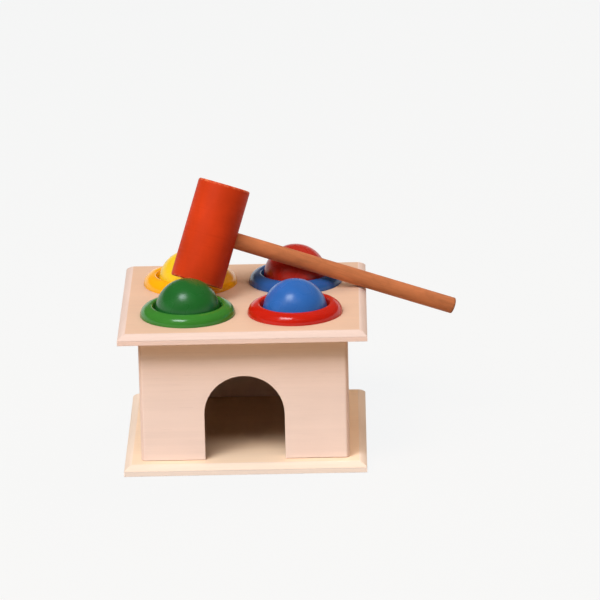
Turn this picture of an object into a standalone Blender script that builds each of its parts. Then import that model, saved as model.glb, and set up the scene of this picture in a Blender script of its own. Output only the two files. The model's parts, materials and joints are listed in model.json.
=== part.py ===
"""Ball pounding box: a plywood house whose lid holds four balls in rings, with a hammer lying on it.

Metres, +Z up, front at -Y. The origin is the centre of the base plate's underside.
"""

import math

import bmesh
import bpy
import numpy as np
from mathutils import Matrix, Vector

# Gap between pieces that touch each other on the real toy
SEAT_GAP = 0.0003

# Balls and the rings that hold them
BALL_DIAMETER = 0.038
YELLOW_BALL_RISE = 0.0009
GREEN_BALL_RISE = 0.0023
RED_BALL_RISE = 0.0034
BLUE_BALL_RISE = 0.0009
RING_MOUTH_GAP = 0.0016
RING_CREST_INSET = 0.0012
RING_ROUND = 0.0062
RING_THROAT_RISE = 0.0015
RING_SLEEVE_WALL = 0.0027
RING_GAP_X = 0.007
RING_GAP_Y = 0.007
SEATS_LEFT_OF_MIDDLE = 0.001

# Walls, clear of the balls that drop between them
WALL_HEIGHT = 0.074
WALL_THICKNESS = 0.006
WALL_CORNER_ROUND = 0.0025
BALL_CLEARANCE_X = 0.0045
BALL_CLEARANCE_Y = 0.0045

# Arched door in the front wall, wide enough for a ball
DOOR_SIDE_CLEARANCE = 0.0045
DOOR_HEIGHT = 0.051

# Base plate and top plate, eased round their upper edges by a slope that swells a little
BASE_LEDGE = 0.01
BASE_THICKNESS = 0.006
PLATE_OVERHANG = 0.0115
PLATE_THICKNESS = 0.006
EDGE_SET_BACK = 0.0045
EDGE_DROP = 0.003
EDGE_SWELL = 0.0004

# Hammer
HEAD_DIAMETER = 0.0304
HEAD_LENGTH = 0.0595
HEAD_EDGE_ROUND = 0.0012
HANDLE_DIAMETER = 0.0097
HANDLE_REACH = 0.155
HANDLE_END_ROUND = 0.001
HANDLE_SEAT_DEPTH = 0.024

# How the hammer lies: its head leans, and stands beside the yellow ball
HEAD_LEAN = math.radians(24.93)
HEAD_LEAN_HEADING = math.radians(45.24)
HANDLE_SPIN = math.radians(56.84)
HEAD_RIGHT_OF_BALL = 0.01365
HEAD_IN_FRONT_OF_BALL = 0.02749

# Screws up through the base into the side walls
SCREW_DIAMETER = 0.003
SCREW_LENGTH = 0.018
SCREW_HEAD_DIAMETER = 0.006
SCREW_HEAD_HEIGHT = 0.0018
SCREW_INSET = 0.021

# Dowels between the front and back walls and the top plate
DOWEL_DIAMETER = 0.003
DOWEL_LENGTH = 0.01
DOWEL_DEPTH_IN_PLATE = 0.003
DOWEL_INSET = 0.005

# Facets
ROUND_STEPS = 40
SMALL_ROUND_STEPS = 16
BALL_STEPS = 32
BALL_RINGS = 16
CORNER_STEPS = 4
ARCH_STEPS = 20
RING_PROFILE_STEPS = 10
SHARP_ANGLE = math.radians(35)
WELD_DISTANCE = 1e-6

# Sizes and heights that follow from those above
BALL_RADIUS = BALL_DIAMETER / 2
RING_BORE = BALL_RADIUS + SEAT_GAP
RING_MOUTH = BALL_RADIUS + RING_MOUTH_GAP
RING_RADIUS = RING_MOUTH + RING_CREST_INSET
RING_OUTER = RING_RADIUS + RING_ROUND
SLEEVE_OUTER = RING_BORE + RING_SLEEVE_WALL
SEAT_SPACING_X = 2 * RING_OUTER + RING_GAP_X
SEAT_SPACING_Y = 2 * RING_OUTER + RING_GAP_Y
BODY_WIDTH = SEAT_SPACING_X + BALL_DIAMETER + 2 * (BALL_CLEARANCE_X + WALL_THICKNESS)
BODY_DEPTH = SEAT_SPACING_Y + BALL_DIAMETER + 2 * (BALL_CLEARANCE_Y + WALL_THICKNESS)
BASE_WIDTH = BODY_WIDTH + 2 * BASE_LEDGE
BASE_DEPTH = BODY_DEPTH + 2 * BASE_LEDGE
PLATE_WIDTH = BODY_WIDTH + 2 * PLATE_OVERHANG
PLATE_DEPTH = BODY_DEPTH + 2 * PLATE_OVERHANG
DOOR_WIDTH = BALL_DIAMETER + 2 * DOOR_SIDE_CLEARANCE
WALL_FOOT = BASE_THICKNESS + SEAT_GAP
PLATE_UNDERSIDE = WALL_FOOT + WALL_HEIGHT + SEAT_GAP
PLATE_TOP = PLATE_UNDERSIDE + PLATE_THICKNESS
RING_FOOT = PLATE_TOP + SEAT_GAP
RING_THROAT = PLATE_TOP + RING_THROAT_RISE
HEAD_RADIUS = HEAD_DIAMETER / 2
HANDLE_RADIUS = HANDLE_DIAMETER / 2
SCREW_HEAD_FACE = SEAT_GAP

# Each seat: the colours of its ball and its ring, its side of the plate, and how high its ball's
# middle is, because each ball has been pushed in by a different amount
SEATS = (
    ("yellow", "yellow", -1, 1, PLATE_TOP + YELLOW_BALL_RISE),
    ("green", "green", -1, -1, PLATE_TOP + GREEN_BALL_RISE),
    ("red", "blue", 1, 1, PLATE_TOP + RED_BALL_RISE),
    ("blue", "red", 1, -1, PLATE_TOP + BLUE_BALL_RISE),
)


def srgb(red, green, blue):
    """Linear colour of an 8-bit screen colour."""
    def linear(value):
        share = value / 255
        return share / 12.92 if share <= 0.04045 else ((share + 0.055) / 1.055) ** 2.4

    return (linear(red), linear(green), linear(blue), 1.0)


BALL_COLOURS = {
    "yellow": srgb(243, 200, 24),
    "green": srgb(30, 122, 44),
    "red": srgb(196, 36, 34),
    "blue": srgb(34, 104, 186),
}
RING_COLOURS = {
    "yellow": srgb(243, 168, 20),
    "green": srgb(48, 158, 62),
    "blue": srgb(24, 102, 190),
    "red": srgb(214, 40, 30),
}
PLY_COLOUR = srgb(236, 204, 172)
HEAD_COLOUR = srgb(212, 68, 26)
HANDLE_COLOUR = srgb(188, 116, 70)
DOWEL_COLOUR = srgb(214, 176, 130)
STEEL_COLOUR = srgb(190, 190, 186)


def clear_scene():
    for old in list(bpy.data.objects):
        bpy.data.objects.remove(old, do_unlink=True)


def finish(name, colour, roughness, metallic=0.0):
    """A Principled material."""
    made = bpy.data.materials.new(name)
    made.use_nodes = True
    shader = made.node_tree.nodes["Principled BSDF"]
    shader.inputs["Base Color"].default_value = colour
    shader.inputs["Roughness"].default_value = roughness
    shader.inputs["Metallic"].default_value = metallic
    made.diffuse_color = colour
    return made


def add_piece(name, shape, material, parent=None):
    """Turns a bmesh into a named object with its material and smooth round faces."""
    bmesh.ops.recalc_face_normals(shape, faces=shape.faces)
    mesh = bpy.data.meshes.new(name)
    shape.to_mesh(mesh)
    shape.free()
    mesh.shade_smooth()
    mesh.set_sharp_from_angle(angle=SHARP_ANGLE)
    mesh.materials.append(material)
    piece = bpy.data.objects.new(name, mesh)
    bpy.context.scene.collection.objects.link(piece)
    piece.parent = parent
    return piece


def cut(piece, cutter):
    """Takes a cutter's shape out of a piece and hides the cutter."""
    cutter.hide_render = True
    cutter.display_type = "WIRE"
    change = piece.modifiers.new("cut_" + cutter.name, "BOOLEAN")
    change.operation = "DIFFERENCE"
    change.solver = "EXACT"
    change.object = cutter


def arc(centre_x, centre_y, radius, start, end, steps):
    """Points along an arc, both ends included."""
    angles = [start + (end - start) * step / steps for step in range(steps + 1)]
    return [(centre_x + radius * math.cos(a), centre_y + radius * math.sin(a)) for a in angles]


def edge_levels(low, high):
    """(inset, height) levels up the side of a plate and over its eased edge."""
    slope = math.hypot(EDGE_SET_BACK, EDGE_DROP)
    levels = [(0, low)]
    for step in range(CORNER_STEPS + 1):
        share = step / CORNER_STEPS
        swell = 4 * EDGE_SWELL * share * (1 - share)
        inset = EDGE_SET_BACK * share - swell * EDGE_DROP / slope
        levels.append((inset, high - EDGE_DROP * (1 - share) + swell * EDGE_SET_BACK / slope))
    return levels


def plate_shape(width, depth, low, high):
    """A plate whose upper edge is eased all the way round."""
    shape = bmesh.new()
    loops = []
    for inset, height in edge_levels(low, high):
        x = width / 2 - inset
        y = depth / 2 - inset
        corners = ((x, y), (-x, y), (-x, -y), (x, -y))
        loops.append([shape.verts.new((*corner, height)) for corner in corners])
    shape.faces.new(loops[0])
    shape.faces.new(loops[-1])
    for lower, upper in zip(loops, loops[1:]):
        for i in range(len(lower)):
            shape.faces.new((lower[i - 1], lower[i], upper[i], upper[i - 1]))
    return shape


def turned(profile, steps):
    """A solid of revolution about Z from a closed (radius, height) profile."""
    shape = bmesh.new()
    points = [shape.verts.new((radius, 0, height)) for radius, height in profile]
    edges = [shape.edges.new(pair) for pair in zip(points, points[1:] + points[:1])]
    bmesh.ops.spin(
        shape,
        geom=points + edges,
        cent=(0, 0, 0),
        axis=(0, 0, 1),
        angle=2 * math.pi,
        steps=steps,
        use_duplicate=False,
    )
    bmesh.ops.remove_doubles(shape, verts=shape.verts, dist=WELD_DISTANCE)
    on_axis = [edge for edge in shape.edges if not edge.link_faces]
    bmesh.ops.delete(shape, geom=on_axis, context="EDGES")
    return shape


def rod_profile(radius, low, high, rounding):
    """Closed profile of a round rod along Z with rounded end edges."""
    inner = radius - rounding
    lower = arc(inner, low + rounding, rounding, -math.pi / 2, 0, CORNER_STEPS)
    upper = arc(inner, high - rounding, rounding, 0, math.pi / 2, CORNER_STEPS)
    return [(0, low)] + lower + upper + [(0, high)]


def plain_rod_profile(radius, low, high):
    return [(0, low), (radius, low), (radius, high), (0, high)]


def rod_cutter(name, radius, low, high, steps, place, parent=None):
    """A round cutter along Z from low to high, set at a place."""
    cutter = add_piece(name, turned(plain_rod_profile(radius, low, high), steps), CUT_FINISH, parent)
    cutter.location = place
    return cutter


def box(size_x, size_y, low, high):
    """A block centred on X and Y."""
    shape = bmesh.new()
    size = (size_x, size_y, high - low)
    place = Matrix.Translation((0, 0, (low + high) / 2)) @ Matrix.Diagonal((*size, 1))
    bmesh.ops.create_cube(shape, size=1, matrix=place)
    return shape


def round_upright_edges(shape, outer_y):
    """Rounds a wall's two upright edges on the face at outer_y."""
    upright = []
    for edge in shape.edges:
        ends = [vertex.co for vertex in edge.verts]
        on_face = all(math.isclose(co.y, outer_y, abs_tol=WELD_DISTANCE) for co in ends)
        at_side = all(abs(co.x) > BODY_WIDTH / 2 - WELD_DISTANCE for co in ends)
        if on_face and at_side and ends[0].z != ends[1].z:
            upright.append(edge)
    bmesh.ops.bevel(
        shape,
        geom=upright,
        offset=min(WALL_CORNER_ROUND, WALL_THICKNESS / 2),
        segments=CORNER_STEPS,
        profile=0.5,
        affect="EDGES",
    )


def wall_outline(door):
    """Outline of a wall across the body in X and Z, with the arched door left out of its foot."""
    half = BODY_WIDTH / 2
    top = WALL_FOOT + WALL_HEIGHT
    outline = [(half, WALL_FOOT), (half, top), (-half, top), (-half, WALL_FOOT)]
    if door:
        radius = DOOR_WIDTH / 2
        spring = WALL_FOOT + DOOR_HEIGHT - radius
        outline.append((-radius, WALL_FOOT))
        outline += arc(0, spring, radius, math.pi, 0, ARCH_STEPS)
        outline.append((radius, WALL_FOOT))
    return outline


def cross_wall(name, side, door):
    """The front or back wall: full body width, with its outer upright edges rounded."""
    outer = side * BODY_DEPTH / 2
    shape = bmesh.new()
    points = [shape.verts.new((x, outer, z)) for x, z in wall_outline(door)]
    face = shape.faces.new(points)
    grown = bmesh.ops.extrude_face_region(shape, geom=[face])["geom"]
    moved = [item for item in grown if isinstance(item, bmesh.types.BMVert)]
    bmesh.ops.translate(shape, verts=moved, vec=(0, -side * WALL_THICKNESS, 0))
    round_upright_edges(shape, outer)
    return add_piece(name, shape, PLY_FINISH)


def side_wall(name, side):
    """The left or right wall, between the front and back walls."""
    depth = BODY_DEPTH - 2 * (WALL_THICKNESS + SEAT_GAP)
    wall = add_piece(name, box(WALL_THICKNESS, depth, WALL_FOOT, WALL_FOOT + WALL_HEIGHT), PLY_FINISH)
    wall.location.x = side * (BODY_WIDTH - WALL_THICKNESS) / 2
    return wall


def base_plate():
    return add_piece("base_plate", plate_shape(BASE_WIDTH, BASE_DEPTH, 0, BASE_THICKNESS), PLY_FINISH)


def top_plate():
    plate = add_piece(
        "top_plate",
        plate_shape(PLATE_WIDTH, PLATE_DEPTH, PLATE_UNDERSIDE, PLATE_TOP),
        PLY_FINISH,
    )
    for ball, _, side_x, side_y, _ in SEATS:
        x, y = seat_place(side_x, side_y)
        hole = rod_cutter(
            "hole_under_" + ball,
            SLEEVE_OUTER + SEAT_GAP,
            PLATE_UNDERSIDE - PLATE_THICKNESS,
            PLATE_TOP + PLATE_THICKNESS,
            ROUND_STEPS,
            (x, y, 0),
        )
        cut(plate, hole)
    return plate


def seat_place(side_x, side_y):
    """Centre of a ball seat on the plate."""
    return side_x * SEAT_SPACING_X / 2 - SEATS_LEFT_OF_MIDDLE, side_y * SEAT_SPACING_Y / 2


def ring_profile():
    """A domed collar on the plate, its mouth narrowing to a sleeve down through the plate's hole."""
    foot = math.asin((RING_FOOT - PLATE_TOP) / RING_ROUND)
    mouth = math.acos((RING_MOUTH - RING_RADIUS) / RING_ROUND)
    dome = arc(RING_RADIUS, PLATE_TOP, RING_ROUND, foot, mouth, RING_PROFILE_STEPS)
    return [
        (SLEEVE_OUTER, PLATE_UNDERSIDE),
        (SLEEVE_OUTER, RING_FOOT),
        *dome,
        (RING_BORE, RING_THROAT),
        (RING_BORE, PLATE_UNDERSIDE),
    ]


def ball_shape():
    shape = bmesh.new()
    bmesh.ops.create_uvsphere(shape, u_segments=BALL_STEPS, v_segments=BALL_RINGS, radius=BALL_RADIUS)
    return shape


def ball_and_ring(ball, ring, side_x, side_y, height):
    """One seat: its ring on the plate and the ball in it, each with its origin on the seat's axis."""
    x, y = seat_place(side_x, side_y)
    collar_finish = finish(ring + "_ring_paint", RING_COLOURS[ring], 0.25)
    collar = add_piece(ring + "_ring", turned(ring_profile(), ROUND_STEPS), collar_finish)
    collar.location = (x, y, 0)
    ball_finish = finish(ball + "_ball_paint", BALL_COLOURS[ball], 0.2)
    round_ball = add_piece(ball + "_ball", ball_shape(), ball_finish)
    round_ball.location = (x, y, height)


def screw_profile(grow):
    """Closed profile of a countersunk screw pointing up, or of its hole when grown all round."""
    shank = SCREW_DIAMETER / 2 + grow
    head = SCREW_HEAD_DIAMETER / 2 + grow
    face = SCREW_HEAD_FACE - (BASE_THICKNESS if grow else 0)
    rim = SCREW_HEAD_FACE + grow
    neck = SCREW_HEAD_FACE + SCREW_HEAD_HEIGHT + grow
    tip = SCREW_HEAD_FACE + SCREW_LENGTH + grow
    point = tip - SCREW_DIAMETER
    outline = [(0, face), (head, face)]
    if grow:
        outline.append((head, rim))
    return outline + [(shank, neck), (shank, point), (shank / 2, tip), (0, tip)]


def base_screws(base, walls):
    """Screws through the base into the foot of each side wall, with their holes."""
    steel = finish("screw_steel", STEEL_COLOUR, 0.35, metallic=1.0)
    number = 0
    for side, wall in walls:
        for end in (-1, 1):
            number += 1
            place = (side * (BODY_WIDTH - WALL_THICKNESS) / 2, end * (BODY_DEPTH / 2 - SCREW_INSET), 0)
            hole_shape = turned(screw_profile(SEAT_GAP), SMALL_ROUND_STEPS)
            hole = add_piece(f"screw_hole_{number}", hole_shape, CUT_FINISH)
            hole.location = place
            cut(base, hole)
            cut(wall, hole)
            screw_shape = turned(screw_profile(0), SMALL_ROUND_STEPS)
            screw = add_piece(f"base_screw_{number}", screw_shape, steel)
            screw.location = place


def top_dowels(plate, walls):
    """Dowels standing in the front and back walls, their upper ends in the top plate."""
    wood = finish("dowel_wood", DOWEL_COLOUR, 0.7)
    high = PLATE_UNDERSIDE + DOWEL_DEPTH_IN_PLATE
    low = high - DOWEL_LENGTH
    number = 0
    for side, wall in walls:
        for end in (-1, 1):
            number += 1
            place = (end * (BODY_WIDTH / 2 - DOWEL_INSET), side * (BODY_DEPTH - WALL_THICKNESS) / 2, 0)
            hole = rod_cutter(
                f"dowel_hole_{number}",
                DOWEL_DIAMETER / 2 + SEAT_GAP,
                low - SEAT_GAP,
                high + SEAT_GAP,
                SMALL_ROUND_STEPS,
                place,
            )
            cut(plate, hole)
            cut(wall, hole)
            profile = plain_rod_profile(DOWEL_DIAMETER / 2, low, high)
            dowel = add_piece(f"top_dowel_{number}", turned(profile, SMALL_ROUND_STEPS), wood)
            dowel.location = place


def hammer_axes():
    """Unit vectors up the head's axis and out along the handle."""
    heading = Vector((math.sin(HEAD_LEAN_HEADING), math.cos(HEAD_LEAN_HEADING), 0))
    across = Vector((math.cos(HEAD_LEAN_HEADING), -math.sin(HEAD_LEAN_HEADING), 0))
    head = heading * math.sin(HEAD_LEAN) + Vector((0, 0, math.cos(HEAD_LEAN)))
    handle = across * math.cos(HANDLE_SPIN) + head.cross(across) * math.sin(HANDLE_SPIN)
    return head, handle


def hammer_surface():
    """Points over the head and the handle, about the middle of the head."""
    head, handle = (np.array(axis) for axis in hammer_axes())
    side = np.cross(head, handle)
    angles = np.linspace(0, 2 * math.pi, 2 * ROUND_STEPS, endpoint=False)[:, None]

    def circles(axis, first, second, radius, low, high):
        round_it = radius * (np.cos(angles) * first + np.sin(angles) * second)
        return [round_it + axis * at for at in np.linspace(low, high, 2 * ROUND_STEPS)]

    barrel = circles(head, handle, side, HEAD_RADIUS, -HEAD_LENGTH / 2, HEAD_LENGTH / 2)
    stick = circles(handle, head, side, HANDLE_RADIUS, HEAD_RADIUS, HANDLE_REACH)
    return np.concatenate(barrel + stick)


def from_top_plate(points):
    """Distance of points out from the nearest facet of the top plate."""
    inside_x = PLATE_WIDTH / 2 - np.abs(points[:, 0])
    inside_y = PLATE_DEPTH / 2 - np.abs(points[:, 1])
    inside = np.minimum(inside_x, inside_y)
    outward = points[:, 2] - PLATE_TOP
    levels = edge_levels(PLATE_UNDERSIDE, PLATE_TOP)
    for (inset, height), (next_inset, next_height) in zip(levels, levels[1:]):
        along = next_inset - inset
        up = next_height - height
        from_facet = (points[:, 2] - height) * along - (inside - inset) * up
        outward = np.maximum(outward, from_facet / math.hypot(along, up))
    return outward


def clearance(points):
    """Least distance from points to the balls, the rings and the top plate."""
    least = []
    for _, _, side_x, side_y, height in SEATS:
        seat = np.array(seat_place(side_x, side_y))
        from_axis = np.linalg.norm(points[:, :2] - seat, axis=1)
        least.append((np.hypot(from_axis, points[:, 2] - height) - BALL_RADIUS).min())
        from_dome = np.hypot(from_axis - RING_RADIUS, points[:, 2] - PLATE_TOP)
        least.append((from_dome - RING_ROUND).min())
    least.append(from_top_plate(points).min())
    return min(least)


def hammer_place():
    """Middle of the head where the hammer, lowered beside the yellow ball, first meets something."""
    x, y = seat_place(-1, 1)
    place = np.array([x + HEAD_RIGHT_OF_BALL, y - HEAD_IN_FRONT_OF_BALL, 0])
    surface = hammer_surface()

    def clear(height):
        return clearance(surface + place + np.array([0, 0, height])) > SEAT_GAP

    step = SEAT_GAP
    height = PLATE_TOP + BALL_DIAMETER + HEAD_LENGTH
    while clear(height - step):
        height -= step
    while step > WELD_DISTANCE:
        step /= 2
        if clear(height - step):
            height -= step
    return Vector((place[0], place[1], height))


def hammer():
    """The head and its handle on an empty whose Z is the head's axis and X the handle's."""
    head_axis, handle_axis = hammer_axes()
    rest = bpy.data.objects.new("hammer_rest", None)
    bpy.context.scene.collection.objects.link(rest)
    turn = Matrix((handle_axis, head_axis.cross(handle_axis), head_axis)).transposed()
    rest.matrix_world = Matrix.Translation(hammer_place()) @ turn.to_4x4()

    paint = finish("hammer_head_paint", HEAD_COLOUR, 0.5)
    profile = rod_profile(HEAD_RADIUS, -HEAD_LENGTH / 2, HEAD_LENGTH / 2, HEAD_EDGE_ROUND)
    head = add_piece("hammer_head", turned(profile, ROUND_STEPS), paint, rest)

    along_handle = (0, math.pi / 2, 0)
    inner_end = HEAD_RADIUS - HANDLE_SEAT_DEPTH
    socket = rod_cutter(
        "handle_socket",
        HANDLE_RADIUS + SEAT_GAP,
        inner_end - SEAT_GAP,
        HEAD_RADIUS + HANDLE_RADIUS,
        ROUND_STEPS,
        (0, 0, 0),
        rest,
    )
    socket.rotation_euler = along_handle
    cut(head, socket)

    wood = finish("handle_wood", HANDLE_COLOUR, 0.6)
    profile = rod_profile(HANDLE_RADIUS, inner_end, HANDLE_REACH, HANDLE_END_ROUND)
    handle = add_piece("hammer_handle", turned(profile, ROUND_STEPS), wood, rest)
    handle.rotation_euler = along_handle


clear_scene()
PLY_FINISH = finish("plywood", PLY_COLOUR, 0.65)
CUT_FINISH = finish("cutters", STEEL_COLOUR, 0.5)

base = base_plate()
front = cross_wall("front_wall", -1, door=True)
back = cross_wall("back_wall", 1, door=False)
left = side_wall("left_wall", -1)
right = side_wall("right_wall", 1)
lid = top_plate()
base_screws(base, ((-1, left), (1, right)))
top_dowels(lid, ((-1, front), (1, back)))
for seat in SEATS:
    ball_and_ring(*seat)
hammer()
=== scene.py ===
"""Looks of the ball pounding box: turned and eased pieces, their finishes, light and camera.

Metres, +Z up, front at -Y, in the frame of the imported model.
"""

import json
import math

import bmesh
import bpy
from mathutils import Matrix, Vector

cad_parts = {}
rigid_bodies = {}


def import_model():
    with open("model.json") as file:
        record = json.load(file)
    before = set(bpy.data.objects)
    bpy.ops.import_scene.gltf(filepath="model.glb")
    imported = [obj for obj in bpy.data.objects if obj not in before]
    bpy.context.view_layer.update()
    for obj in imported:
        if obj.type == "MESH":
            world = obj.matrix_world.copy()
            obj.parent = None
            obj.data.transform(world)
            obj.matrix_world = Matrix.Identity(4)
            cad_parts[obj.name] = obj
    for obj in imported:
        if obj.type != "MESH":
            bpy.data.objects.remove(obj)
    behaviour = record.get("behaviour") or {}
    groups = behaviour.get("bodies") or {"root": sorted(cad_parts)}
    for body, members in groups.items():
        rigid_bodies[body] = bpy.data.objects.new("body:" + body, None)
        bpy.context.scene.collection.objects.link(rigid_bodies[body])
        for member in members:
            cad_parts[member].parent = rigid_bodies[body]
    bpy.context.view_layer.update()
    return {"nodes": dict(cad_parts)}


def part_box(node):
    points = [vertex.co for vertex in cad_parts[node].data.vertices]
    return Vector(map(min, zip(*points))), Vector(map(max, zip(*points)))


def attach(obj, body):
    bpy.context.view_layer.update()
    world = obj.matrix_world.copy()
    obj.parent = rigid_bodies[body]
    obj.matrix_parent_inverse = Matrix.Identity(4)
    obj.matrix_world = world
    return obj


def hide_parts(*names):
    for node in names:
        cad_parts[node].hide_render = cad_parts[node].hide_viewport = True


for old in list(bpy.data.objects):
    bpy.data.objects.remove(old, do_unlink=True)

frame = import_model()


def srgb(red, green, blue):
    """Linear colour of an 8-bit screen colour."""
    def linear(value):
        share = value / 255
        return share / 12.92 if share <= 0.04045 else ((share + 0.055) / 1.055) ** 2.4

    return (linear(red), linear(green), linear(blue), 1.0)


# Eased edges of the plywood
EDGE_ROUND = 0.0004
EDGE_SEGMENTS = 3
EDGE_PROFILE = 0.5
EDGE_ANGLE = math.radians(25)
SMOOTH_ANGLE = math.radians(40)
FLAT_ANGLE = math.radians(1)
WELD_DISTANCE = 1e-6

# Rings
RING_CREST_INSET = 0.0012
RING_THROAT_RISE = 0.0015
RING_SLEEVE_WALL = 0.0027
RING_SEAT = 0.00005
RING_MOUTH_ROUND = 0.0009
RING_LIP = 0.0005

# Hammer: the loop on its head's ends is a share of the radius
HEAD_EDGE_ROUND = 0.0012
HEAD_END_LOOP = 0.5
HEAD_RIM_TOLERANCE = 0.0004
HANDLE_END_ROUND = 0.0005
HANDLE_DEPTH_IN_HEAD = 0.008

# Facets
BALL_CUTS = 23
RING_STEPS = 128
RING_PROFILE_STEPS = 28
HEAD_STEPS = 96
HANDLE_STEPS = 48
ROUND_STEPS = 6
QUARTER_TURN = math.pi / 2

# Plywood: tones of its faces and cut edges, the painted shade on its slopes (on the plates darker
# than the cut edges), and the darkening along a cut edge's fibres
PALE_FACE = srgb(248, 231, 224)
PALE_EDGE = srgb(242, 219, 210)
TOP_FACE = srgb(215, 183, 158)
TOP_SLOPE_PAINTED_SHADE = srgb(222, 201, 190)
BASE_FACE = srgb(242, 217, 188)
BASE_SLOPE_PAINTED_SHADE = srgb(240, 222, 204)
BASE_EDGE = srgb(253, 245, 239)
FIBRE_SHADE = (0.9, 0.9, 0.9, 1)

# Each sheet: node, face, slope with its painted shade, cut edge, axis across the sheet, axis of the
# grain
PLYWOOD = (
    ("base_plate", BASE_FACE, BASE_SLOPE_PAINTED_SHADE, BASE_EDGE, "Z", "X"),
    ("front_wall", PALE_FACE, PALE_EDGE, PALE_EDGE, "Y", "X"),
    ("back_wall", PALE_FACE, PALE_EDGE, PALE_EDGE, "Y", "X"),
    ("left_wall", PALE_FACE, PALE_EDGE, PALE_EDGE, "X", "Y"),
    ("right_wall", PALE_FACE, PALE_EDGE, PALE_EDGE, "X", "Y"),
    ("top_plate", TOP_FACE, TOP_SLOPE_PAINTED_SHADE, PALE_EDGE, "Z", "X"),
)

# Layers on a cut edge: share of the sheet's thickness, and the tone there
EDGE_LAYERS = ((0.43, 1.02), (0.47, 0.8), (0.51, 0.8), (0.55, 1.02), (0.8, 1.02), (0.9, 1.0))

# The normal's part across the sheet, where a cut edge turns to a slope with painted shade and a
# slope to a face
EDGE_TO_SLOPE = (0.25, 0.45)
SLOPE_TO_FACE = (0.94, 0.96)

# Paint, plastic and the other woods
BALLS = {
    "yellow": srgb(237, 201, 40),
    "green": srgb(28, 97, 39),
    "red": srgb(178, 42, 29),
    "blue": srgb(44, 101, 178),
}
RINGS = {
    "yellow": srgb(239, 170, 10),
    "green": srgb(53, 123, 43),
    "blue": srgb(42, 90, 158),
    "red": srgb(186, 29, 14),
}
HEAD_RED = srgb(194, 57, 19)
WORN_PAINT = srgb(232, 150, 104)
HANDLE_TAN = srgb(190, 117, 74)
DOWEL_PALE = srgb(214, 176, 130)
STEEL_DARK = srgb(168, 168, 164)
STEEL_LIGHT = srgb(206, 206, 202)

# Distances from the head's rims where wear starts and where it is full, and from the handle's end
# where its painted shade starts and where it is full
RIM_START, RIM_FULL = 0.0016, 0.0004
END_SHADE_START, END_SHADE_FULL = 0.0016, 0.0002

# Noise: its roughness, and the part of its span that tones and roughness follow
NOISE_ROUGHNESS = 0.55
NOISE_LOW, NOISE_HIGH = 0.3, 0.7

# Colour sockets of a Mix node, which share their names with its other sockets
MIX_FACTOR, MIX_FIRST, MIX_SECOND, MIX_RESULT = 0, 6, 7, 2

# Camera, fitted to the photo's frame
FRAME_PIXELS = 600
FOCAL_PIXELS = 4850.7
CAMERA_AZIMUTH = math.radians(-0.682)
CAMERA_ELEVATION = math.radians(17.092)
CAMERA_ROLL = math.radians(-1.322)
CAMERA_DISTANCE = 2.8749
CAMERA_TARGET = Vector((0.0332, 0, 0.08419))
SENSOR = 36

# Lamps: level, colour, direction from the piece, direction of the width, and width and height
# in degrees. At a level of 1, a surface that faces the lamp renders its colour as it is written.
LAMPS = {
    "window": (0.45, (0.92, 1.0, 1.08), (-0.27, -0.38, 0.883), (0.94, -0.3, 0.17), 20, 18),
    "left": (0.34, (1.02, 1.0, 0.97), (-0.6, -0.5, 0.62), (1, 0, 0), 40, 30),
    "front": (0.47, (1.16, 1.0, 0.92), (-0.16, -0.62, 0.77), (1, 0, 0), 54, 13),
    "room": (0.46, (1.2, 1.0, 0.83), (0.45, 0.55, 0.7), (0, 0, 1), 50, 50),
}
LAMP_IN_GLOSS = "window"
LAMP_DISTANCE = 2.0
AMBIENT = (0.12, 0.085, 0.06, 1)

# Floor: the light it throws back, and the white that it shows
FLOOR_BOUNCE = (0.48, 0.35, 0.22, 1)
FLOOR_WHITE = (0.97, 0.99, 1.0, 1)
FLOOR_SELF_WHITE = 0.9
FLOOR_RADIUS = 12
FLOOR_BEND = 3
FLOOR_STEPS = 128
FLOOR_DROP = 0.0004


def shade(colour, factor):
    """A colour made lighter or darker by a factor."""
    return tuple(min(1.0, part * factor) for part in colour[:3]) + (1.0,)


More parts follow.
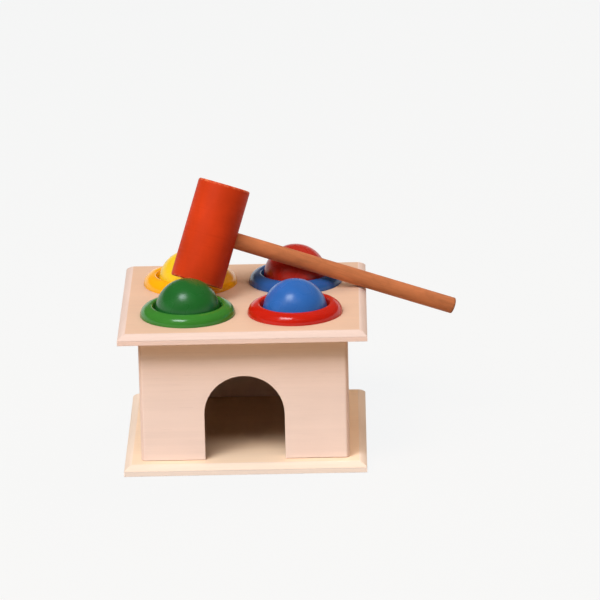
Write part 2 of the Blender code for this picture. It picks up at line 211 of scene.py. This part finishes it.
class Finish:
    """A Principled material, with short calls that add texture nodes to it."""

    def __init__(self, name):
        self.material = bpy.data.materials.new(name)
        self.material.use_nodes = True
        self.tree = self.material.node_tree
        self.shader = self.tree.nodes["Principled BSDF"]

    def feed(self, node, inputs):
        """Links or sets inputs, named or numbered."""
        for socket, value in inputs.items():
            if isinstance(value, bpy.types.NodeSocket):
                self.tree.links.new(value, node.inputs[socket])
            else:
                node.inputs[socket].default_value = value

    def add(self, kind, inputs, output=0, **settings):
        """Adds a node and gives one of its outputs."""
        node = self.tree.nodes.new("ShaderNode" + kind)
        for setting, value in settings.items():
            setattr(node, setting, value)
        self.feed(node, inputs)
        return node.outputs[output]

    def axis(self, vector, letter):
        """A vector's part along an axis."""
        return self.add("SeparateXYZ", {"Vector": vector}, letter)

    def place(self, letter):
        """Place along an axis, in the piece's own coordinates."""
        return self.axis(self.add("TexCoord", {}, "Object"), letter)

    def noise(self, along, across, axis="Z", detail=2.0, distortion=0.0):
        """Noise on the piece, with its scale per metre along an axis and across it."""
        own = self.add("TexCoord", {}, "Object")
        scale = [along if letter == axis else across for letter in "XYZ"]
        inputs = {
            "Vector": self.add("Mapping", {"Vector": own, "Scale": scale}),
            "Scale": 1.0,
            "Detail": detail,
            "Roughness": NOISE_ROUGHNESS,
            "Distortion": distortion,
        }
        return self.add("TexNoise", inputs, "Fac")

    def span(self, value, low, high, to_low=0.0, to_high=1.0):
        """A value's span stretched to another span, and held at its ends."""
        inputs = {
            "Value": value,
            "From Min": low,
            "From Max": high,
            "To Min": to_low,
            "To Max": to_high,
        }
        return self.add("MapRange", inputs, "Result")

    def between(self, noise, least, most):
        """A number that follows a noise from one value to another."""
        return self.span(noise, NOISE_LOW, NOISE_HIGH, least, most)

    def math(self, operation, first, second=0.0):
        """The result of a Math node."""
        return self.add("Math", {0: first, 1: second}, operation=operation)

    def mix(self, factor, first, second, blend="MIX"):
        """A colour between two others."""
        inputs = {MIX_FACTOR: factor, MIX_FIRST: first, MIX_SECOND: second}
        return self.add("Mix", inputs, MIX_RESULT, data_type="RGBA", blend_type=blend)

    def vary(self, colour, noise, darker, lighter):
        """A colour that follows a noise from a darker to a lighter tone."""
        return self.mix(self.between(noise, 0, 1), shade(colour, darker), shade(colour, lighter))

    def coat(self, below, value, colour, start, full, strength, blend="MIX"):
        """A colour laid over another, from where a value starts it to where it is full."""
        return self.mix(self.span(value, start, full, 0, strength), below, colour, blend)

    def bands(self, value, stops):
        """Colours along a value, as (position, colour) stops."""
        node = self.tree.nodes.new("ShaderNodeValToRGB")
        self.feed(node, {"Fac": value})
        ramp = node.color_ramp
        while len(ramp.elements) < len(stops):
            ramp.elements.new(0.5)
        for element, (position, colour) in zip(ramp.elements, stops):
            element.position = position
            element.color = colour
        return node.outputs["Color"]

    def relief(self, noise, other, share):
        """The height of a noise and a share of another."""
        return self.math("ADD", noise, self.math("MULTIPLY", other, share))

    def bump(self, height, distance, strength):
        """A normal bent by a height."""
        inputs = {"Height": height, "Distance": distance, "Strength": strength}
        return self.add("Bump", inputs)

    def finish(self, **sockets):
        """Sets the shader's sockets, with _ for a blank in a name, and gives the material."""
        self.feed(self.shader, {name.replace("_", " "): value for name, value in sockets.items()})
        return self.material


def plywood(name, face, slope_painted_shade, edge, flat, grain, low, high):
    """Sanded plywood: faint grain on its faces, layers on its edges, and a painted shade on its
    slopes.

    flat is the axis across the sheet, from low to high, and grain the axis of the veneer's grain.
    """
    wood = Finish(name)
    streaks = wood.noise(along=7, across=420, axis=grain, detail=4, distortion=0.3)
    figure = wood.noise(along=3, across=34, axis=grain, distortion=0.8)
    pores = wood.noise(along=70, across=1500, axis=grain)
    blotches = wood.noise(along=22, across=22)
    veneer = wood.vary(face, streaks, darker=0.96, lighter=1.03)
    veneer = wood.coat(veneer, figure, shade(face, 0.91), start=0.42, full=0.62, strength=0.55)
    veneer = wood.coat(veneer, blotches, shade(face, 1.07), start=0.35, full=0.7, strength=0.5)
    veneer = wood.coat(veneer, pores, shade(face, 0.62), start=0.62, full=0.75, strength=0.14)

    depth = wood.span(wood.place(flat), low, high)
    layers = wood.bands(depth, [(share, shade(edge, tone)) for share, tone in EDGE_LAYERS])
    normal = wood.add("NewGeometry", {}, "True Normal")
    facing = wood.math("ABSOLUTE", wood.axis(normal, flat))
    # The slopes take a tone of painted shade, which on the plates is darker than the cut edges
    cut = wood.mix(wood.span(facing, *EDGE_TO_SLOPE), layers, slope_painted_shade)
    fibres = wood.noise(along=1500, across=40, axis=flat, detail=3)
    cut = wood.coat(cut, fibres, FIBRE_SHADE, start=0.35, full=0.72, strength=0.5, blend="MULTIPLY")

    relief = wood.relief(streaks, pores, share=0.5)
    return wood.finish(
        Base_Color=wood.mix(wood.span(facing, *SLOPE_TO_FACE), cut, veneer),
        Roughness=wood.between(streaks, least=0.52, most=0.68),
        Normal=wood.bump(relief, distance=0.00006, strength=0.6),
        Specular_IOR_Level=0.3,
    )


def gloss_paint(name, colour):
    """Gloss paint on a turned ball: a little uneven, with the wood's grain just telling in it."""
    paint = Finish(name)
    cloud = paint.noise(along=55, across=55)
    peel = paint.noise(along=900, across=900, detail=1)
    grain = paint.noise(along=900, across=60)
    relief = paint.relief(peel, grain, share=0.6)
    return paint.finish(
        Base_Color=paint.vary(colour, cloud, darker=0.9, lighter=1.1),
        Roughness=paint.between(cloud, least=0.2295, most=0.324),
        Normal=paint.bump(relief, distance=0.00002, strength=0.25),
        Specular_IOR_Level=0.38,
    )


def gloss_plastic(name, colour):
    """Moulded soft plastic: smooth and glossy, with faint flow marks."""
    plastic = Finish(name)
    cloud = plastic.noise(along=70, across=70, distortion=0.5)
    haze = plastic.noise(along=240, across=240)
    return plastic.finish(
        Base_Color=plastic.vary(colour, cloud, darker=0.93, lighter=1.07),
        Roughness=plastic.between(haze, least=0.14, most=0.21),
        Normal=plastic.bump(cloud, distance=0.0001, strength=0.15),
        Specular_IOR_Level=0.4,
    )


def satin_paint(name, colour, half_length, radius):
    """Satin paint on the turned head, worn on its rims, with marks that run round it."""
    paint = Finish(name)
    marks = paint.noise(along=1300, across=40, detail=3)
    cloud = paint.noise(along=45, across=60, detail=3)
    chips = paint.noise(along=420, across=420)
    tone = paint.vary(colour, cloud, darker=0.9, lighter=1.1)
    tone = paint.coat(tone, marks, shade(colour, 0.75), start=0.55, full=0.75, strength=0.25)

    squares = [paint.math("POWER", paint.place(letter), 2) for letter in "XY"]
    from_axis = paint.math("SQRT", paint.math("ADD", *squares))
    height = paint.math("ABSOLUTE", paint.place("Z"))
    near_side = paint.span(from_axis, radius - RIM_START, radius - RIM_FULL)
    near_end = paint.span(height, half_length - RIM_START, half_length - RIM_FULL)
    on_rim = paint.math("MULTIPLY", near_side, near_end)
    chipped = paint.span(chips, low=0.4, high=0.62, to_high=0.6)
    tone = paint.mix(paint.math("MULTIPLY", on_rim, chipped), tone, WORN_PAINT)
    return paint.finish(
        Base_Color=tone,
        Roughness=paint.between(marks, least=0.45, most=0.6),
        Normal=paint.bump(marks, distance=0.00005, strength=0.3),
        Specular_IOR_Level=0.15,
    )


def stained_wood(name, colour, end):
    """Stained dowel with its grain along Z, mottled, and with painted shade darkening its end."""
    wood = Finish(name)
    streaks = wood.noise(along=26, across=520, detail=3, distortion=1.5)
    mottle = wood.noise(along=80, across=170, detail=4, distortion=0.8)
    patches = wood.noise(along=28, across=60)
    pores = wood.noise(along=90, across=2200)
    tone = wood.vary(colour, streaks, darker=0.92, lighter=1.08)
    tone = wood.coat(tone, mottle, shade(colour, 0.76), start=0.42, full=0.64, strength=0.75)
    tone = wood.coat(tone, patches, shade(colour, 1.28), start=0.42, full=0.66, strength=0.65)
    tone = wood.coat(tone, pores, shade(colour, 0.55), start=0.6, full=0.72, strength=0.35)
    # Painted shade darkens the last millimetres up to the end
    near_end = {"start": end - END_SHADE_START, "full": end - END_SHADE_FULL, "strength": 0.6}
    tone = wood.coat(tone, wood.place("Z"), shade(colour, 0.35), **near_end)
    return wood.finish(
        Base_Color=tone,
        Roughness=wood.between(streaks, least=0.5, most=0.66),
        Normal=wood.bump(streaks, distance=0.0001, strength=0.5),
        Specular_IOR_Level=0.3,
    )


def brushed_steel(name):
    """Bright steel with fine scratches."""
    steel = Finish(name)
    scratches = steel.noise(along=3000, across=300, axis="X", detail=3)
    return steel.finish(
        Base_Color=steel.mix(scratches, STEEL_DARK, STEEL_LIGHT),
        Metallic=1.0,
        Roughness=steel.between(scratches, least=0.28, most=0.45),
        Normal=steel.bump(scratches, distance=0.00003, strength=0.4),
    )


def piece(name, shape, material, body, replaces, place=Matrix.Identity(4)):
    """Makes a smooth object of a bmesh, which rides on a body in place of a CAD node."""
    bmesh.ops.recalc_face_normals(shape, faces=shape.faces)
    mesh = bpy.data.meshes.new(name)
    shape.to_mesh(mesh)
    shape.free()
    mesh.shade_smooth()
    mesh.set_sharp_from_angle(angle=SMOOTH_ANGLE)
    mesh.materials.append(material)
    made = bpy.data.objects.new(name, mesh)
    bpy.context.scene.collection.objects.link(made)
    made.matrix_world = place
    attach(made, body)
    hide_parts(replaces)
    return made


def middle(node):
    """The middle of a CAD node's box."""
    low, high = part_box(node)
    return (low + high) / 2


def arc(centre, radius, start, end, steps=ROUND_STEPS):
    """Points (radius, height) along an arc, both ends included."""
    points = []
    for step in range(steps + 1):
        angle = start + (end - start) * step / steps
        points.append((centre[0] + radius * math.cos(angle), centre[1] + radius * math.sin(angle)))
    return points


def eased_corner(before, corner, after, size):
    """Points round a profile's corner, which starts and ends a size away from it."""
    before, corner, after = Vector(before), Vector(corner), Vector(after)
    start = corner + (before - corner).normalized() * size
    end = corner + (after - corner).normalized() * size
    points = []
    for step in range(ROUND_STEPS + 1):
        share = step / ROUND_STEPS
        first, second = start.lerp(corner, share), corner.lerp(end, share)
        points.append(tuple(first.lerp(second, share)))
    return points


def turned(profile, steps, closed=False):
    """A surface of revolution about Z; a point at radius 0 becomes one vertex."""
    shape = bmesh.new()
    turns = [2 * math.pi * step / steps for step in range(steps)]
    loops = []
    for radius, height in profile:
        if radius == 0:
            loops.append([shape.verts.new((0, 0, height))] * steps)
            continue
        spots = [(radius * math.cos(turn), radius * math.sin(turn), height) for turn in turns]
        loops.append([shape.verts.new(spot) for spot in spots])
    pairs = list(zip(loops, loops[1:]))
    if closed:
        pairs.append((loops[-1], loops[0]))
    for lower, upper in pairs:
        for i in range(steps):
            j = (i + 1) % steps
            corners = dict.fromkeys((lower[i], lower[j], upper[j], upper[i]))
            shape.faces.new(list(corners))
    return shape


def eased_copy(node, material):
    """A CAD node's shape with its edges eased, in place of the node on the house."""
    shape = bmesh.new()
    shape.from_mesh(frame["nodes"][node].data)
    bmesh.ops.remove_doubles(shape, verts=shape.verts, dist=WELD_DISTANCE)
    bmesh.ops.dissolve_limit(shape, angle_limit=FLAT_ANGLE, verts=shape.verts, edges=shape.edges)
    sharp = [edge for edge in shape.edges if edge.calc_face_angle(0) > EDGE_ANGLE]
    bmesh.ops.bevel(
        shape,
        geom=sharp,
        offset=EDGE_ROUND,
        segments=EDGE_SEGMENTS,
        profile=EDGE_PROFILE,
        affect="EDGES",
        clamp_overlap=True,
    )
    made = piece(node + "_eased", shape, material, "house", node)
    made.modifiers.new("flat_faces", "WEIGHTED_NORMAL").keep_sharp = True


def plywood_pieces():
    """The plates and the walls."""
    for node, *look, flat, grain in PLYWOOD:
        low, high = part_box(node)
        at = "XYZ".index(flat)
        finish = plywood(node + "_plywood", *look, flat, grain, low[at], high[at])
        eased_copy(node, finish)


def fasteners():
    """Gives the screws and the hidden dowels their finishes."""
    steel = brushed_steel("screw_steel")
    dowel = stained_wood("dowel_wood", DOWEL_PALE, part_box("top_dowel_1")[1].z)
    for node, finish in (("base_screw", steel), ("top_dowel", dowel)):
        for number in range(1, 5):
            mesh = frame["nodes"][f"{node}_{number}"].data
            mesh.materials.clear()
            mesh.materials.append(finish)


def ball(colour):
    """A ball made of a finely cut cube, so that its facets are even."""
    node = colour + "_ball"
    low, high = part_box(node)
    radius = (high.z - low.z) / 2
    shape = bmesh.new()
    bmesh.ops.create_cube(shape, size=1)
    bmesh.ops.subdivide_edges(shape, edges=shape.edges, cuts=BALL_CUTS, use_grid_fill=True)
    for vertex in shape.verts:
        vertex.co = vertex.co.normalized() * radius
    finish = gloss_paint(node + "_paint", BALLS[colour])
    place = Matrix.Translation(middle(node))
    piece(node + "_turned", shape, finish, node, node, place)


def ring(colour):
    """A domed collar on the plate, its mouth tapered down to a sleeve through the hole."""
    node = colour + "_ring"
    low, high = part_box(node)
    axis = middle(node).xy
    bore = min((vertex.co.xy - axis).length for vertex in frame["nodes"][node].data.vertices)
    plate_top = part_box("top_plate")[1].z
    radius = high.z - plate_top
    centre = ((high.x - low.x) / 2 - radius, plate_top)
    foot = math.asin(RING_SEAT / radius)
    mouth = math.acos(-RING_CREST_INSET / radius)
    dome = arc(centre, radius, foot, mouth, RING_PROFILE_STEPS)
    throat = (bore, plate_top + RING_THROAT_RISE)

    # The mouth's rounding takes the place of the dome's last points
    while (Vector(dome[-2]) - Vector(dome[-1])).length < RING_MOUTH_ROUND:
        dome.pop(-2)
    mouth_edge = eased_corner(dome[-2], dome[-1], throat, RING_MOUTH_ROUND)

    lip_centre = (bore + RING_LIP, low.z + RING_LIP)
    lip = arc(lip_centre, RING_LIP, 2 * QUARTER_TURN, 3 * QUARTER_TURN)
    outside = bore + RING_SLEEVE_WALL
    sleeve = [throat, *lip, (outside, low.z), (outside, plate_top + RING_SEAT)]
    shape = turned([*dome[:-1], *mouth_edge, *sleeve], RING_STEPS, closed=True)
    finish = gloss_plastic(node + "_gloss", RINGS[colour])
    place = Matrix.Translation((axis.x, axis.y, 0))
    piece(node + "_turned", shape, finish, "house", node, place)


def seen_from(centre, node):
    """A CAD node's vertices as offsets from a centre."""
    return [vertex.co - centre for vertex in frame["nodes"][node].data.vertices]


def reach(points, axis):
    """How far points go along an axis, and away from it."""
    ahead = max(point.dot(axis) for point in points)
    away = max((point - axis * point.dot(axis)).length for point in points)
    return ahead, away


def stood_along(direction, spot):
    """Matrix that puts Z along a direction, at a spot."""
    turn = direction.to_track_quat("Z", "Y").to_matrix().to_4x4()
    return Matrix.Translation(spot) @ turn


def hammer():
    """The head and the handle, on the axes of their CAD nodes."""
    centre = middle("hammer_head")
    points = seen_from(centre, "hammer_head")
    rim_reach = max(point.length for point in points) - HEAD_RIM_TOLERANCE
    upper_rim = [point for point in points if point.length > rim_reach and point.z > 0]
    head_axis = sum(upper_rim, Vector()).normalized()
    half, radius = reach(points, head_axis)
    edge = HEAD_EDGE_ROUND
    low_edge = arc((radius - edge, edge - half), edge, -QUARTER_TURN, 0)
    high_edge = arc((radius - edge, half - edge), edge, 0, QUARTER_TURN)
    loop = radius * HEAD_END_LOOP
    profile = [(0, -half), (loop, -half), *low_edge, *high_edge, (loop, half), (0, half)]
    shape = turned(profile, HEAD_STEPS)
    finish = satin_paint("hammer_head_paint", HEAD_RED, half, radius)
    place = stood_along(head_axis, centre)
    piece("hammer_head_turned", shape, finish, "hammer", "hammer_head", place)

    handle_axis = (middle("hammer_handle") - centre).normalized()
    end, thick = reach(seen_from(centre, "hammer_handle"), handle_axis)
    start = radius - HANDLE_DEPTH_IN_HEAD
    edge = HANDLE_END_ROUND
    end_edge = arc((thick - edge, end - edge), edge, 0, QUARTER_TURN)
    shape = turned([(0, start), (thick, start), *end_edge, (0, end)], HANDLE_STEPS)
    finish = stained_wood("handle_wood", HANDLE_TAN, end)
    place = stood_along(handle_axis, centre)
    piece("hammer_handle_turned", shape, finish, "hammer", "hammer_handle", place)


def floor():
    """A pale floor that curves up far from the piece, so that it fills every view."""
    centre = (FLOOR_RADIUS - FLOOR_BEND, FLOOR_BEND)
    bend = arc(centre, FLOOR_BEND, -QUARTER_TURN, 0)
    shape = turned([(0, 0), *bend], FLOOR_STEPS)
    mesh = bpy.data.meshes.new("floor")
    shape.to_mesh(mesh)
    shape.free()
    ground = Finish("floor_white")
    tree = ground.tree
    tree.nodes.remove(ground.shader)
    diffuse = ground.add("BsdfDiffuse", {"Color": FLOOR_BOUNCE})
    white = ground.add("Emission", {"Color": FLOOR_WHITE, "Strength": 1.0})
    path = tree.nodes.new("ShaderNodeLightPath")
    seen = ground.math("MAXIMUM", path.outputs["Is Camera Ray"], path.outputs["Is Glossy Ray"])
    seen = ground.math("MAXIMUM", seen, path.outputs["Is Transmission Ray"])
    share = ground.math("MULTIPLY", seen, FLOOR_SELF_WHITE)
    mixed = ground.add("MixShader", {0: share, 1: diffuse, 2: white})
    tree.links.new(mixed, tree.nodes["Material Output"].inputs["Surface"])
    mesh.materials.append(ground.material)
    made = bpy.data.objects.new("floor", mesh)
    made.location.z = -FLOOR_DROP
    bpy.context.scene.collection.objects.link(made)


def lamp(name, level, colour, direction, across, width, height):
    """A rectangle of light in a direction from the piece."""
    light = bpy.data.lights.new(name, "AREA")
    light.shape = "RECTANGLE"
    light.size = 2 * LAMP_DISTANCE * math.tan(math.radians(width) / 2)
    light.size_y = 2 * LAMP_DISTANCE * math.tan(math.radians(height) / 2)
    light.energy = level * (math.pi * LAMP_DISTANCE) ** 2
    light.color = colour
    made = bpy.data.objects.new(name, light)
    bpy.context.scene.collection.objects.link(made)
    towards = Vector(direction).normalized()
    side = (Vector(across) - towards * towards.dot(across)).normalized()
    turn = Matrix((side, towards.cross(side), towards)).transposed().to_4x4()
    made.matrix_world = Matrix.Translation(CAMERA_TARGET + towards * LAMP_DISTANCE) @ turn
    made.visible_camera = False
    made.visible_glossy = name == LAMP_IN_GLOSS


def lights():
    """The lamps, of which only the window shows in the gloss, and a faint light all round."""
    for name, setting in LAMPS.items():
        lamp(name, *setting)
    world = bpy.data.worlds.new("studio")
    world.use_nodes = True
    bpy.context.scene.world = world
    world.node_tree.nodes["Background"].inputs["Color"].default_value = AMBIENT


def camera():
    """The camera that the photo's edges were fitted with."""
    flat = math.cos(CAMERA_ELEVATION)
    forward = Vector((
        math.sin(CAMERA_AZIMUTH) * flat,
        math.cos(CAMERA_AZIMUTH) * flat,
        -math.sin(CAMERA_ELEVATION),
    ))
    right = forward.cross(Vector((0, 0, 1))).normalized()
    up = right.cross(forward)
    level = Matrix((right, up, -forward)).transposed()
    data = bpy.data.cameras.new("photo_camera")
    data.sensor_width = SENSOR
    data.lens = SENSOR * FOCAL_PIXELS / FRAME_PIXELS
    made = bpy.data.objects.new("photo_camera", data)
    bpy.context.scene.collection.objects.link(made)
    roll = Matrix.Rotation(CAMERA_ROLL, 3, "Z")
    place = Matrix.Translation(CAMERA_TARGET - forward * CAMERA_DISTANCE)
    made.matrix_world = place @ (level @ roll).to_4x4()
    bpy.context.scene.camera = made


plywood_pieces()
fasteners()
for colour in BALLS:
    ball(colour)
for colour in RINGS:
    ring(colour)
hammer()
floor()
lights()
camera()
bpy.context.scene.view_settings.view_transform = "Standard"
